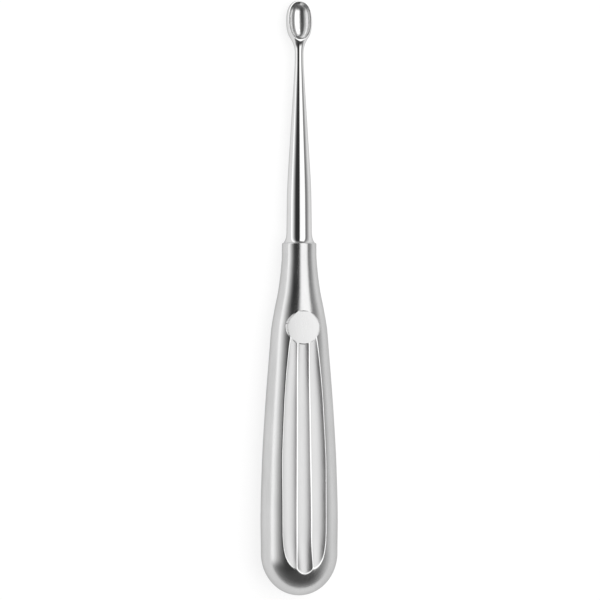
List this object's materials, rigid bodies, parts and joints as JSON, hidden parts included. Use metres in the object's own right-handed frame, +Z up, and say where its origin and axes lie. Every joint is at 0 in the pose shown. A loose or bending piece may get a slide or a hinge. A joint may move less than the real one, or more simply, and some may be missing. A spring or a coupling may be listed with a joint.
{
  "type": "bone curette",
  "caption": "Straight bone curette: an oval sharp cup on a tapered polished shaft, set in a hollow satin handle with thumb pads and lengthwise flutes.",
  "frame": {"origin": "on the resting surface, under the middle of the tool's box, as the tool lies on its back", "axes": "+Y along the tool from the handle to the cup, +X across it, +Z up out of the front face and the open cup"},
  "size_m": [0.0222, 0.17, 0.0168],
  "materials": {
    "satin_steel": "satin, brushed lengthwise",
    "polished_steel": "mirror polished"
  },
  "bodies": {
    "root": {"handle": "satin_steel", "scoop_and_shaft": "polished_steel"}
  },
  "joints": []
}
